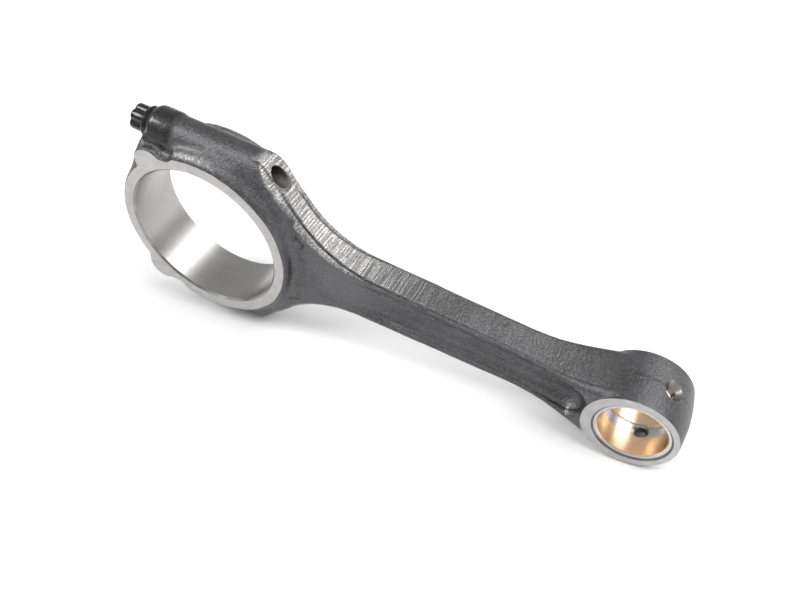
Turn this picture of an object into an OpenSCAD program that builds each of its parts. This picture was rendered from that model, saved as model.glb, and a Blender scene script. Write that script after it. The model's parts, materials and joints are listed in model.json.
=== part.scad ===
// Connecting rod with a fracture-split big end, two cap screws and a grooved
// small-end bush.  Millimetres.  Origin: centre of the crankpin bore.
// +X runs along the rod to the small end, +Y is the direction of both bore
// axes, +Z is up and crosses the rod at right angles.

/* [Main sizes] */
// Distance from crankpin bore centre to piston pin bore centre
centre_distance = 156; // [140:1:190]
// Diameter of the crankpin bore in the big end
crank_bore_d = 56; // [44:1:68]
// Width of the big end over its machined faces
big_end_w = 21.4; // [17.8:0.1:26]
// Width of the small end over its machined faces
small_end_w = 21; // [17.5:0.1:26]
// Bore of the bush that takes the piston pin
pin_bore_d = 22; // [17:0.5:27]

/* [Big end] */
// Radial width of the machined thrust face round the crankpin bore
thrust_face_w = 4.6; // [3.8:0.1:5.6]
// Height of each machined face above the forging beside it
face_step = 0.5; // [0.3:0.1:0.8]
// Extra radius of the forged ring outside the thrust face
ring_extra = 0.7; // [0.4:0.1:1.5]
// Chamfer at each mouth of the crankpin bore
crank_bore_chamfer = 0.9; // [0.5:0.1:1.4]
// Radius of the machined lug beside each screw seat
lug_r = 6.2; // [5:0.1:7]
// Distance of each lug's centre from the centre of the crankpin bore
lug_pitch_r = 31; // [30:0.1:33]
// Angle of each lug from the cap's crown
lug_angle = 53; // [50:1:56]
// Half width of the plate that joins the ring to the screw bosses
joining_half_w = 6.6; // [5.5:0.1:7.5]

/* [Cap screws] */
// Thread diameter
screw_d = 7; // [6:0.5:8]
// Diameter of the plain shank above the thread
screw_shank_d = 6.2; // [5:0.1:6.9]
// Length of thread below the split, in the rod
thread_in_rod = 17.1; // [14:0.1:18]
// Length of thread above the split, in the cap
thread_in_cap = 1.9; // [1:0.1:5]
// Thread depth on the radius
thread_depth = 0.55; // [0.4:0.05:0.7]
// Radial gap between the screw's core and the tapped hole
thread_gap = 0.03; // [0.02:0.01:0.08]
// Radial clearance of the hole through the cap
screw_clearance = 0.35; // [0.3:0.05:0.6]
// Metal left between the crankpin bore and the screw hole
bore_to_screw_wall = 0.75; // [0.6:0.05:2]
// Metal round the screw hole in each boss
boss_wall = 2.4; // [1.8:0.1:4]
// Extra radius of the boss at the screw seat
seat_extra = 0.5; // [0.2:0.1:1]
// Length of that thicker end of the boss
seat_boss_len = 7; // [4:0.5:12]
// Distance from the split to the screw seat
seat_x = 22.9; // [22:0.1:26]
// Diameter of the flange under the head
head_flange_d = 11; // [9.5:0.5:12]
// Thickness of the flange
head_flange_t = 2.4; // [1.2:0.1:3]
// Clearance round the flange where the seat is milled into the cap
spotface_gap = 0.6; // [0.3:0.1:0.8]
// Diameter over the six lobes of the head
head_d = 9.4; // [8:0.1:10.5]
// Height of the lobed part of the head
head_h = 5; // [3:0.1:6]
// Radius of the hollow between two lobes
hollow_r = 1.2; // [0.8:0.05:1.5]
// Distance of each hollow's centre outside the circle over the lobes
hollow_out = 0.2; // [0:0.05:0.5]

/* [Shank] */
// Half height of the shank at its slimmest
shank_half_h = 8.1; // [7:0.1:10]
// Rise of the shank's half height from the slimmest place to the big end
shank_rise = 1.3; // [0:0.1:2.5]
// Width of the shank flanges
shank_w = 13; // [11:0.5:16]
// Thickness of the web between the two flutes
web_t = 6.4; // [4:0.2:9]
// Thickness of each flange above and below the flute
flange_t = 3.2; // [2.5:0.1:5]
// Corner radius at the flute's wide end
flute_corner_r = 3; // [1:0.5:4]
// Reach of the flute past the shank's straight part, toward the big end
flute_reach = 10; // [4:1:14]
// Metal between the flute's round end and the rim of the small end
flute_end_wall = 1; // [0.5:0.5:6]
// Radius of the sweep from the shank to each screw shoulder
shoulder_sweep_r = 37; // [25:1:50]
// Slope of the screw shoulders from the rod's axis
shoulder_angle = 49; // [44:1:54]
// Distance from the split to the middle of the tapped hole's exit
shoulder_x = 24; // [23:0.5:28]
// Radius of the corner between a boss and its shoulder
shoulder_corner_r = 10; // [4:1:14]
// Flat side of each boss above the screw's axis, next to the shoulder
shoulder_side_h = 4.1; // [2:0.1:5]
// Radius of the sweep from the shank into the small end
neck_sweep_r = 60; // [40:1:90]
// Length over which the shank widens into the small end
flare_len = 22; // [14:1:32]
// Depth of that widening under the small end's machined face
flare_under_face = 3; // [1:0.5:5]

/* [Small end] */
// Wall of the small end outside the bush
eye_wall = 4.1; // [3.7:0.1:5]
// Radial width of the machined face, outside the bush
eye_face_w = 3.4; // [2.6:0.1:3.6]
// Offset of the eye's outside toward the shank
eye_shift = 0.8; // [0:0.1:1]
// Wall of the bush
bush_wall = 1.25; // [1:0.05:2]
// Depth of the bush below each machined face
bush_recess = 0.5; // [0.2:0.1:1]
// Chamfer at the mouths of the eye
eye_chamfer = 0.4; // [0.2:0.1:0.6]
// Chamfer inside the mouths of the bush
bush_chamfer = 0.35; // [0.2:0.05:0.5]
// Width of the oil groove round the bush
oil_groove_w = 4.6; // [3:0.1:6]
// Depth of the oil groove
oil_groove_depth = 0.4; // [0.2:0.05:0.6]
// Diameter of the two oil holes
oil_hole_d = 4; // [2.5:0.1:4.5]
// Angle of each oil hole from the rod's axis
oil_hole_angle = 69; // [45:1:80]

/* [Quality] */
// Facets on a full circle where a mesh is made
facets = 96; // [48:12:144]
// Straight steps along each sweep of the rod's outline
arc_steps = 8; // [4:1:16]

/* [Hidden] */
$fn = facets;
eps = 0.01;
far = 400;

crank_bore_r = crank_bore_d / 2;
thrust_face_r = crank_bore_r + thrust_face_w;
ring_r = thrust_face_r + ring_extra;
ring_half_w = big_end_w / 2 - face_step;

core_r = screw_d / 2 - thread_depth;
tapped_r = core_r + thread_gap;
clear_r = screw_d / 2 + screw_clearance;
screw_z = crank_bore_r + bore_to_screw_wall + clear_r;
boss_r = clear_r + boss_wall;
seat_boss_r = boss_r + seat_extra;
spotface_r = head_flange_d / 2 + spotface_gap;
plain_len = seat_x - thread_in_cap;
thread_len = thread_in_cap + thread_in_rod;

bush_r = pin_bore_d / 2 + bush_wall;
eye_r = bush_r + eye_wall;
eye_face_r = bush_r + eye_face_w;
eye_x = centre_distance - eye_shift;
eye_half_w = small_end_w / 2 - face_step;
bush_len = small_end_w - 2 * bush_recess;

// The shoulder is a straight slope through the exit of the tapped hole.  It
// meets the sweep, a circle tangent to the slope and to the shank's edge, and
// the corner, a circle tangent to the slope and to the boss's top.
sweep_edge_z = shank_half_h + shank_rise;
sweep_cz = sweep_edge_z + shoulder_sweep_r;
slope_end_z = sweep_cz - shoulder_sweep_r * cos(shoulder_angle);
slope_end_x = shoulder_x + (screw_z - slope_end_z) / tan(shoulder_angle);
sweep_cx = slope_end_x + shoulder_sweep_r * sin(shoulder_angle);
boss_top_z = screw_z + boss_r;
corner_cx = shoulder_x - boss_r / tan(shoulder_angle) - shoulder_corner_r * tan(shoulder_angle / 2);
corner_cz = boss_top_z - shoulder_corner_r;

// The neck is a circle tangent to the shank's edge and to the eye's rim.
neck_cz = shank_half_h + neck_sweep_r;
neck_cx = eye_x - sqrt(pow(neck_sweep_r + eye_r, 2) - pow(neck_cz, 2));
neck_end_angle = atan2(eye_x - neck_cx, neck_cz);

// The shank starts to widen before the eye's rim.
rim_x = eye_x - eye_r;
flare_x = rim_x - flare_len;
full_x = eye_x - eye_face_r + flare_under_face;

// Turns a flat X-Z outline into a plate that is centred on Y
module plate(w) {
  rotate([90, 0, 0])
    linear_extrude(height = w, center = true)
      children();
}

// Cylinder along Y, centred on Y
module y_disc(r, w, x = 0, z = 0) {
  translate([x, 0, z])
    rotate([90, 0, 0])
      cylinder(r = r, h = w, center = true);
}

// Cone frustum that chamfers the mouth of a bore at y = side * half_w
module mouth_chamfer(r, c, half_w, side, x = 0) {
  translate([x, side * half_w, 0])
    rotate([side * 90, 0, 0])
      translate([0, 0, -eps])
        cylinder(r1 = r + c + eps, r2 = r - eps, h = c + 2 * eps);
}

// Points along an arc from angle a0 to a1
function arc(cx, cz, r, a0, a1) = [
  for (i = [0 : arc_steps])
    let (a = a0 + (a1 - a0) * i / arc_steps)
      [cx + r * cos(a), cz + r * sin(a)]
];

// Half outline of the rod above its axis, from the split to the small end
function upper_edge() = concat(
  [[0, boss_top_z]],
  arc(corner_cx, corner_cz, shoulder_corner_r, 90, 90 - shoulder_angle),
  arc(sweep_cx, sweep_cz, shoulder_sweep_r, 270 - shoulder_angle, 270),
  arc(neck_cx, neck_cz, neck_sweep_r, 270, 270 + neck_end_angle)
);

// Top of the flat sides that join the ring to the bosses
function side_edge() = [
  [0, screw_z],
  [corner_cx - shoulder_corner_r, screw_z],
  [corner_cx, screw_z + shoulder_side_h],
  [sweep_cx, screw_z + shoulder_side_h]
];

function mirrored(points) = [for (i = [len(points) - 1 : -1 : 0]) [points[i][0], -points[i][1]]];

// Half width of the rod along its length, seen from above
function plan_edge() = [
  [0, joining_half_w],
  [ring_r, joining_half_w],
  [sweep_cx, shank_w / 2],
  [flare_x, shank_w / 2],
  [full_x, eye_half_w],
  [eye_x, eye_half_w]
];

module rod_blank() {
  intersection() {
    plate(far)
      polygon(concat(upper_edge(), mirrored(upper_edge())));
    linear_extrude(height = far, center = true)
      polygon(concat(plan_edge(), mirrored(plan_edge())));
    union() {
      for (side = [-1, 1]) boss(side, boss_r, 0, shoulder_x + boss_r);
      plate(2 * joining_half_w)
        polygon(concat(side_edge(), mirrored(side_edge())));
      plate(far)
        polygon([[slope_end_x, -far], [slope_end_x, far], [far, far], [far, -far]]);
    }
  }
}

module flute(side) {
  corner_x = sweep_cx - flute_reach + flute_corner_r;
  corner_z = sweep_edge_z - flange_t - flute_corner_r;
  end_r = shank_half_h - flange_t;
  translate([0, side * (web_t + small_end_w) / 2, 0])
    plate(small_end_w)
      hull() {
        for (z = [-corner_z, corner_z])
          translate([corner_x, z]) circle(r = flute_corner_r);
        translate([rim_x - flute_end_wall - end_r, 0]) circle(r = end_r);
      }
}

// One screw boss along X from x0 to x1
module boss(side, r, x0, x1) {
  translate([x0, 0, side * screw_z])
    rotate([0, 90, 0])
      cylinder(r = r, h = x1 - x0);
}

module half_ring(sign) {
  intersection() {
    union() {
      y_disc(ring_r, 2 * ring_half_w);
      y_disc(thrust_face_r, big_end_w);
    }
    translate([sign > 0 ? 0 : -far, -far / 2, -far / 2])
      cube([far, far, far]);
  }
}

module crank_bore_cut() {
  y_disc(crank_bore_r, far);
  for (side = [-1, 1]) mouth_chamfer(crank_bore_r, crank_bore_chamfer, big_end_w / 2, side);
}

module rod_body() {
  color("dimgray")
    difference() {
      union() {
        half_ring(1);
        rod_blank();
        y_disc(eye_r, 2 * eye_half_w, eye_x);
        y_disc(eye_face_r, small_end_w, eye_x);
      }
      crank_bore_cut();
      for (side = [-1, 1]) {
        flute(side);
        boss(side, tapped_r, -eps, shoulder_x + boss_r);
        mouth_chamfer(bush_r, eye_chamfer, small_end_w / 2, side, centre_distance);
        translate([centre_distance, 0, 0])
          rotate([0, -side * oil_hole_angle, 0])
            rotate([0, 90, 0])
              cylinder(d = oil_hole_d, h = 2 * eye_r);
      }
      y_disc(bush_r, far, centre_distance);
    }
}

module bearing_cap() {
  color("dimgray")
    difference() {
      union() {
        half_ring(-1);
        for (side = [-1, 1]) {
          boss(side, boss_r, -seat_x, 0);
          boss(side, seat_boss_r, -seat_x, seat_boss_len - seat_x);
          y_disc(lug_r, big_end_w, -lug_pitch_r * cos(lug_angle), side * lug_pitch_r * sin(lug_angle));
        }
        plate(2 * joining_half_w)
          polygon([[0, screw_z], [-seat_x, screw_z], [-seat_x, -screw_z], [0, -screw_z]]);
      }
      crank_bore_cut();
      for (side = [-1, 1]) {
        boss(side, clear_r, -seat_x - eps, eps);
        boss(side, spotface_r, -2 * seat_x, -seat_x);
      }
    }
}

// One lobe of the external hexalobular head
module head_outline() {
  difference() {
    circle(d = head_d);
    for (i = [0 : 5])
      rotate(i * 60 + 30)
        translate([head_d / 2 + hollow_out, 0])
          circle(r = hollow_r);
  }
}

module cap_screw(side) {
  translate([-seat_x, 0, side * screw_z])
    rotate([0, 90, 0]) {
      cylinder(d = screw_shank_d, h = plain_len);
      translate([0, 0, plain_len - eps])
        cylinder(r = core_r, h = thread_len + eps);
      translate([0, 0, -head_flange_t])
        cylinder(d = head_flange_d, h = head_flange_t);
      translate([0, 0, -head_flange_t - head_h])
        linear_extrude(height = head_h + eps)
          head_outline();
    }
}

module cap_screw_upper() {
  color([0.1, 0.1, 0.11])
    cap_screw(1);
}

module cap_screw_lower() {
  color([0.1, 0.1, 0.11])
    cap_screw(-1);
}

module small_end_bush() {
  color("goldenrod")
    translate([centre_distance, 0, 0])
      difference() {
        y_disc(bush_r, bush_len);
        y_disc(pin_bore_d / 2, far);
        y_disc(pin_bore_d / 2 + oil_groove_depth, oil_groove_w);
        for (side = [-1, 1]) {
          mouth_chamfer(pin_bore_d / 2, bush_chamfer, bush_len / 2, side);
          rotate([0, -side * oil_hole_angle, 0])
            rotate([0, 90, 0])
              cylinder(d = oil_hole_d, h = 2 * eye_r);
        }
      }
}

rod_body();
bearing_cap();
cap_screw_upper();
cap_screw_lower();
small_end_bush();
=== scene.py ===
import json
import math

import bmesh
import bpy
import numpy as np
from bpy.props import FloatProperty, FloatVectorProperty, IntProperty, PointerProperty
from mathutils import Matrix, Vector, noise


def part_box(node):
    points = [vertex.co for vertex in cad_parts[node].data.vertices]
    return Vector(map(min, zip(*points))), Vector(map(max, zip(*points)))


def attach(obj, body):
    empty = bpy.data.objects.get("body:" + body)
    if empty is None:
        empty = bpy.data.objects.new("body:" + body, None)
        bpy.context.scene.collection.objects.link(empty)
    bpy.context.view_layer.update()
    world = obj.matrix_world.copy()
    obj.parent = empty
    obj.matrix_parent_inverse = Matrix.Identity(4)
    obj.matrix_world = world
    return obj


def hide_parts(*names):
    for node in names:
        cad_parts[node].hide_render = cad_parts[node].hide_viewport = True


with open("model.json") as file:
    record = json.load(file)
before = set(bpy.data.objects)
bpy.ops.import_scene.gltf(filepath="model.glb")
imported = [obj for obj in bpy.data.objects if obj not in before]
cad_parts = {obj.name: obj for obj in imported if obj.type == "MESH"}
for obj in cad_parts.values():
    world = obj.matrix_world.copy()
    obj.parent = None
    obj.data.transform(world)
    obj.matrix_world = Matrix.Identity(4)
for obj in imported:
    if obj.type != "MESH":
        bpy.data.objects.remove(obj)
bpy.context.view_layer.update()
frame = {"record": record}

bl_info = {
    "name": "Connecting Rod",
    "version": (1, 0, 0),
    "blender": (4, 5, 0),
    "location": "View3D > Sidebar > Rod",
    "description": "Forged connecting rod with a fracture-split cap, lobed cap screws and a lined bush",
    "category": "Add Mesh",
}

MM = 0.001

# Places and sizes that the frame gives.
MOUNTS = {m["name"]: m for m in frame["record"]["mounts"]}
BORE_R = MOUNTS["crankpin_bore"]["dims"]["r_mm"] * MM
PIN_R = MOUNTS["piston_pin_bore"]["dims"]["r_mm"] * MM
PIN_X = MOUNTS["piston_pin_bore"]["pos_m"][0]
FACE_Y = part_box("rod_body")[1][1]
EYE_Y = MOUNTS["small_end_face_rear"]["pos_m"][1]
BUSH_LOW, BUSH_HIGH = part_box("small_end_bush")
BUSH_R = (BUSH_HIGH[0] - BUSH_LOW[0]) / 2
BUSH_Y = BUSH_HIGH[1]
SCREW_LOW, SCREW_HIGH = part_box("cap_screw_upper")
SCREW_Z = (SCREW_LOW[2] + SCREW_HIGH[2]) / 2
FLANGE_R = (SCREW_HIGH[2] - SCREW_LOW[2]) / 2

# Places and sizes that several pieces or finishes share.
SMALL_END_X = 90 * MM  # what lies past this belongs to the small end
BORE_CHAMFER = 0.7 * MM
EYE_CHAMFER = 0.55 * MM
SHOULDER_X = 24 * MM
SHOULDER_END_X = 33.1 * MM
SHOULDER_DIRECTION = (0.755, 0.656)  # along and across, square to the shoulder's slope
SHOULDER_FALL = 0.869  # how fast the mark of the shoulder comes in along the rod
SWEEP_X = 61.04 * MM
SWEEP_R = 37 * MM
WIDE_H = 9.4 * MM
SEAT_CUT_R = 6.1 * MM
GROOVE_GAP = 0.3 * MM  # from the trimmed land to the middle of its groove
EYE_BULGE = 8.0  # per metre: how far the small end's outside falls back towards its faces
OIL_ANGLE = math.radians(69)
OIL_R = 2 * MM
OIL_CONE_FROM = 13.9 * MM  # from the pin's axis to the start of the countersink
OIL_CONE_SLOPE = 0.75
SHARP_ANGLE = math.radians(28)
CROWN_FLANK = (0.868, 0.496)  # direction of the crown's sloping flank, back along the rod and across
CROWN_TRIM = (0.7, 0.714)  # direction in which the crown ends before a lug, along and across
POCKET = (-13.6 * MM, 10.2 * MM, 32.6 * MM)  # hollow between a lug and its screw boss
POCKET_R = 3.6 * MM
DENTS = ((33.4, 15.2), (34.8, 14.0), (36.0, 13.2), (35.4, 12.2))  # mm along and across the rod
DENT_Y = 7.0 * MM
DENT_R = 1.1 * MM


def length(name, default, description):
    """A size that a user can change, in metres."""
    return FloatProperty(name=name, description=description, default=default, unit="LENGTH")


class BigEndSizes(bpy.types.PropertyGroup):
    """Ring, crown, lugs and screw bosses, in rod and cap alike"""
    face_r: length("Thrust face radius", 32.6 * MM, "Outside of the machined face round the crankpin bore")
    ring_r: length("Ring radius", 33.3 * MM, "Outside of the forged ring")
    ring_swell: length("Ring swell", 1.5 * MM, "Extra radius of the ring beside the bosses")
    crown_x: length("Crown distance", 33.2 * MM, "Distance from the split to the cap's forged crown")
    crown_d: length(
        "Crown flank distance", 36.5 * MM, "Distance from the bore's axis to the sloping flank of the crown")
    crown_w: length("Crown half width", 9.6 * MM, "Half width of the forged crown")
    lug_x: length("Lug place along the rod", -19.0 * MM, "Centre of each lug")
    lug_z: length("Lug place across the rod", 24.76 * MM, "Centre of each lug")
    lug_r: length("Lug radius", 5.6 * MM, "Radius of the machined lug beside each screw")
    boss_r: length("Boss radius", 6.45 * MM, "Radius of each screw boss")
    collar_extra: length("Collar", 0.55 * MM, "Extra radius of the boss at the screw seat")
    seat_x: length("Seat distance", 22.9 * MM, "Distance from the split to the screw seat")
    plate_w: length("Plate half width", 6.6 * MM, "Half width of the plate between ring and bosses")
    valley_r: length("Valley fillet", 1.5 * MM, "Fillet between the ring and the plate")
    boss_fillet_r: length("Boss fillet", 2.2 * MM, "Fillet between a boss and the plate")


class ShankSizes(bpy.types.PropertyGroup):
    """Shoulders, shank, flutes and small end"""
    shoulder_x: length("Shoulder distance", SHOULDER_X, "Distance from the split to the tapped hole's exit")
    shoulder_angle: FloatProperty(
        name="Shoulder angle", default=math.radians(49), subtype="ANGLE",
        description="Slope of the shoulders")
    shoulder_corner_r: length("Shoulder corner", 5 * MM, "Rounding of the shoulder's corner")
    sweep_x: length("Sweep centre along the rod", SWEEP_X, "Centre of the sweep from shoulder to shank")
    sweep_r: length("Sweep radius", SWEEP_R, "Radius of the sweep from shoulder to shank")
    wide_h: length("Half height at the big end", WIDE_H, "Half height of the shank where the sweep ends")
    slim_h: length(
        "Half height at the small end", 8.1 * MM, "Half height of the shank where the neck starts")
    neck_x: length("Neck centre along the rod", 120.7 * MM, "Centre of the sweep into the small end")
    neck_r: length("Neck radius", 60 * MM, "Radius of the sweep into the small end")
    half_w: length("Shank half width", 6.5 * MM, "Half width over the flanges")
    web_half: length("Web half width", 3.2 * MM, "Half thickness of the web between the flutes")
    flange_t: length("Flange thickness", 2.3 * MM, "Thickness of each flange beside the flute")
    flute_end_x: length("Flute end", 132.95 * MM, "Centre of the flute's round end")
    eye_x: length("Eye centre", 155.2 * MM, "Centre of the small end's outside")
    eye_r: length("Eye radius", 16.35 * MM, "Outside radius of the small end")


class ScrewSizes(bpy.types.PropertyGroup):
    """Head, flange, shank and thread of a cap screw"""
    crest_r: length("Thread crest radius", 3.5 * MM, "Outside of the thread")
    core_r: length("Thread core radius", 2.95 * MM, "Bottom of the thread")
    pitch: length("Pitch", 1 * MM, "Distance from one thread to the next")
    thread_start: length("Thread start", -1.9 * MM, "Place of the thread's first turn from the split")
    shank_r: length("Shank radius", 3.1 * MM, "Plain part above the thread")
    flange_t: length("Flange thickness", 2.4 * MM, "Thickness of the flange under the head")
    head_r: length("Head radius", 4.7 * MM, "Radius over the lobes")


class Finishes(bpy.types.PropertyGroup):
    """Colours of the metals, and the detail of the forgings"""
    forging: FloatVectorProperty(
        name="Forging", default=(0.1, 0.0985, 0.102), subtype="COLOR",
        description="Shot-blasted steel")
    machined: FloatVectorProperty(
        name="Machined faces", default=(0.42, 0.413, 0.406), subtype="COLOR",
        description="Ground and bored steel")
    screw: FloatVectorProperty(
        name="Screws", default=(0.018, 0.018, 0.02), subtype="COLOR",
        description="Oiled black finish")
    bronze: FloatVectorProperty(
        name="Bush lining", default=(0.76, 0.58, 0.4), subtype="COLOR",
        description="Bronze of the bush")
    voxel: length("Forging detail", 0.5 * MM, "Spacing of the forging's mesh")
    seed: IntProperty(
        name="Seed", default=4,
        description="Seed of the uneven forging")


class Term:
    """A number inside a node tree, which can be added to, scaled and compared."""

    def __init__(self, tree, out):
        self.tree, self.out = tree, out

    def op(self, kind, *others):
        """One step of arithmetic with other numbers or terms."""
        node = self.tree.nodes.new("ShaderNodeMath")
        node.operation = kind
        for socket, value in zip(node.inputs, (self, *others)):
            if isinstance(value, Term):
                self.tree.links.new(value.out, socket)
            else:
                socket.default_value = value
        return Term(self.tree, node.outputs[0])

    def __add__(self, other):
        return self.op("ADD", other)

    def __sub__(self, other):
        return self.op("SUBTRACT", other)

    def __rsub__(self, other):
        return (self * -1.0) + other

    def __mul__(self, other):
        return self.op("MULTIPLY", other)

    def __truediv__(self, other):
        return self.op("DIVIDE", other)

    def __neg__(self):
        return self * -1.0

    __radd__ = __add__

    def low(self, other):
        """The smaller of both; as shapes, either one."""
        return self.op("MINIMUM", other)

    def high(self, other):
        """The larger of both; as shapes, where they overlap."""
        return self.op("MAXIMUM", other)

    def ramp(self, a, b):
        """0 at a, 1 at b, smooth between."""
        node = self.tree.nodes.new("ShaderNodeMapRange")
        node.interpolation_type = "SMOOTHSTEP"
        self.tree.links.new(self.out, node.inputs["Value"])
        for name, value in (("From Min", a), ("From Max", b)):
            if isinstance(value, Term):
                self.tree.links.new(value.out, node.inputs[name])
            else:
                node.inputs[name].default_value = value
        return Term(self.tree, node.outputs["Result"])


def far(a, b):
    """Distance from two distances at right angles."""
    return (a * a + b * b).op("SQRT")


def round_edge(a, b, r):
    """Where both shapes overlap, with their edge rounded by r."""
    return a.high(b).low(-r) + far((a + r).high(0.0), (b + r).high(0.0))


def fillet(a, b, r):
    """Either shape, with the corner between them filled by r."""
    return a.low(b).high(r) - far((r - a).high(0.0), (r - b).high(0.0))


def group_inputs(tree, sizes):
    """Named inputs of a tree, one for each size, with the size as its default."""
    terms = {}
    tree.interface.new_socket("Geometry", in_out="INPUT", socket_type="NodeSocketGeometry")
    tree.interface.new_socket("Geometry", in_out="OUTPUT", socket_type="NodeSocketGeometry")
    for name, value in sizes.items():
        socket = tree.interface.new_socket(name, in_out="INPUT", socket_type="NodeSocketFloat")
        socket.default_value = value
    node = tree.nodes.new("NodeGroupInput")
    for name in sizes:
        terms[name] = Term(tree, node.outputs[name])
    return terms


def property_values(group):
    """Name and value of each size in a property group."""
    names = [p.identifier for p in group.bl_rna.properties if p.type == "FLOAT"]
    return {name: getattr(group, name) for name in names}


def grown(name, tree, sizes):
    """Plain mesh of a node tree, with its sizes set by socket."""
    holder = bpy.data.objects.new(name, bpy.data.meshes.new(name))
    bpy.context.collection.objects.link(holder)
    modifier = holder.modifiers.new("Grow", "NODES")
    modifier.node_group = tree
    for item in tree.interface.items_tree:
        if item.item_type == "SOCKET" and item.in_out == "INPUT" and item.name in sizes:
            modifier[item.identifier] = sizes[item.name]
    seen = holder.evaluated_get(bpy.context.evaluated_depsgraph_get())
    mesh = bpy.data.meshes.new_from_object(seen)
    holder.modifiers.clear()
    bpy.data.objects.remove(holder)
    mesh.name = name
    if not mesh.polygons:
        raise RuntimeError(f"{name}: the node tree made no faces")
    return mesh


def finish_tree(tree, geometry, material):
    """Realize Instances, Set Material and the output."""
    real = tree.nodes.new("GeometryNodeRealizeInstances")
    paint = tree.nodes.new("GeometryNodeSetMaterial")
    end = tree.nodes.new("NodeGroupOutput")
    paint.inputs["Material"].default_value = material
    tree.links.new(geometry, real.inputs[0])
    tree.links.new(real.outputs[0], paint.inputs["Geometry"])
    tree.links.new(paint.outputs[0], end.inputs[0])


def uneven(tree, place, scale, amount, seed):
    """Soft lumps of a forging."""
    node = tree.nodes.new("ShaderNodeTexNoise")
    node.noise_dimensions = "4D"
    node.inputs["W"].default_value = seed
    node.inputs["Scale"].default_value = scale
    node.inputs["Detail"].default_value = 1.0
    tree.links.new(place, node.inputs["Vector"])
    return (Term(tree, node.outputs[0]) - 0.5) * amount


def big_end(s, x, y, z, r):
    """Ring with its pads, and a screw boss, which cross the split without a step."""
    face_stock, blend, fall = 0.5 * MM, 1.2 * MM, 0.42
    ring_lean, tab_lean, tab_stock = 0.85, 0.8, 0.5 * MM
    lug = far(x - s["lug_x"], z - s["lug_z"])
    pad = (r - s["face_r"]).op("SMOOTH_MIN", lug - s["lug_r"], blend)
    top = (FACE_Y + face_stock) - (pad + blend).high(0.0) * fall
    swell = s["ring_swell"] * z.ramp(8 * MM, 22 * MM) * x.ramp(-16 * MM, -10 * MM)
    side = r - s["ring_r"] - swell
    ring = round_edge(side, (y - top) * ring_lean, 1.9 * MM)
    tab = round_edge(lug - s["lug_r"] - tab_stock, (y - top) * tab_lean, 0.6 * MM)

    flank = z * CROWN_FLANK[1] - x * CROWN_FLANK[0] - s["crown_d"]
    crown = round_edge(-x - s["crown_x"], flank, 12.0 * MM)
    trim = (x - s["lug_x"]) * CROWN_TRIM[0] + (z - s["lug_z"]) * CROWN_TRIM[1] - 3.0 * MM
    crown = round_edge(crown, trim, 3.0 * MM)
    crown = round_edge(crown, y - s["crown_w"], 3.0 * MM)
    ring = fillet(ring.low(tab), crown, 1.0 * MM)

    pocket = POCKET_R - far(far(x - POCKET[0], y - POCKET[1]), z - POCKET[2])
    ring = round_edge(ring, pocket, 1.0 * MM)
    collar = (-x).ramp(12.6 * MM, 15.2 * MM) * s["collar_extra"]
    boss = far(y, z - SCREW_Z) - s["boss_r"] - collar
    return ring, boss


def cap_field(s, x, y, z, r):
    """The cap's forging, below nothing inside it."""
    ring, boss = big_end(s, x, y, z, r)
    seat = -x - s["seat_x"]
    boss = round_edge(boss, seat, 2.1 * MM)
    plate = round_edge(y - s["plate_w"], z - SCREW_Z, 1.0 * MM).high(seat)
    return fillet(ring, fillet(boss, plate, s["boss_fillet_r"]), s["valley_r"])


def rod_outline(s, x, y, z, slope, edge_z):
    """Side view of the rod from its shoulder, by sweep, shank and neck, to the small end."""
    sin, cos = s["shoulder_angle"].op("SINE"), s["shoulder_angle"].op("COSINE")
    top = round_edge(slope, z - SCREW_Z - 3.2 * MM, s["shoulder_corner_r"])
    bar = (z - edge_z).high(x - s["eye_x"])

    sweep_z = s["wide_h"] + s["sweep_r"]
    slope_end_x = s["sweep_x"] - s["sweep_r"] * sin
    slope_end_z = sweep_z - s["sweep_r"] * cos
    sweep = (s["sweep_r"] - far(x - s["sweep_x"], z - sweep_z)).high(x - s["sweep_x"])
    sweep = sweep.high((z - slope_end_z) * sin - (x - slope_end_x) * cos)

    neck_z = s["slim_h"] + s["neck_r"]
    neck_angle = (s["eye_x"] - s["neck_x"]).op("ARCTAN2", neck_z)
    sin, cos = neck_angle.op("SINE"), neck_angle.op("COSINE")
    neck = (s["neck_r"] - far(x - s["neck_x"], z - neck_z)).high(s["neck_x"] - x)
    tip_x = s["neck_x"] + s["neck_r"] * sin
    tip_z = neck_z - s["neck_r"] * cos
    neck = neck.high((x - tip_x) * cos + (z - tip_z) * sin)

    outline = top.low(bar).low(sweep).low(neck)
    return outline + y * y * EYE_BULGE * x.ramp(112 * MM, 146 * MM)


def trimmed(outline, x, y):
    """The outline with a flat land along the edge, and a groove on either side of it."""
    at_end = x.ramp(10 * MM, 20 * MM) * x.ramp(124 * MM, 92 * MM)
    half = edge_land(x.ramp)
    land = (half - y).ramp(-0.35 * MM, 0.35 * MM) * at_end
    outline = outline - land * 0.14 * MM
    groove = ((half + GROOVE_GAP - y).op("ABSOLUTE")).ramp(0.8 * MM, 0.0)
    return outline + groove * at_end * 0.22 * MM


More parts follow.
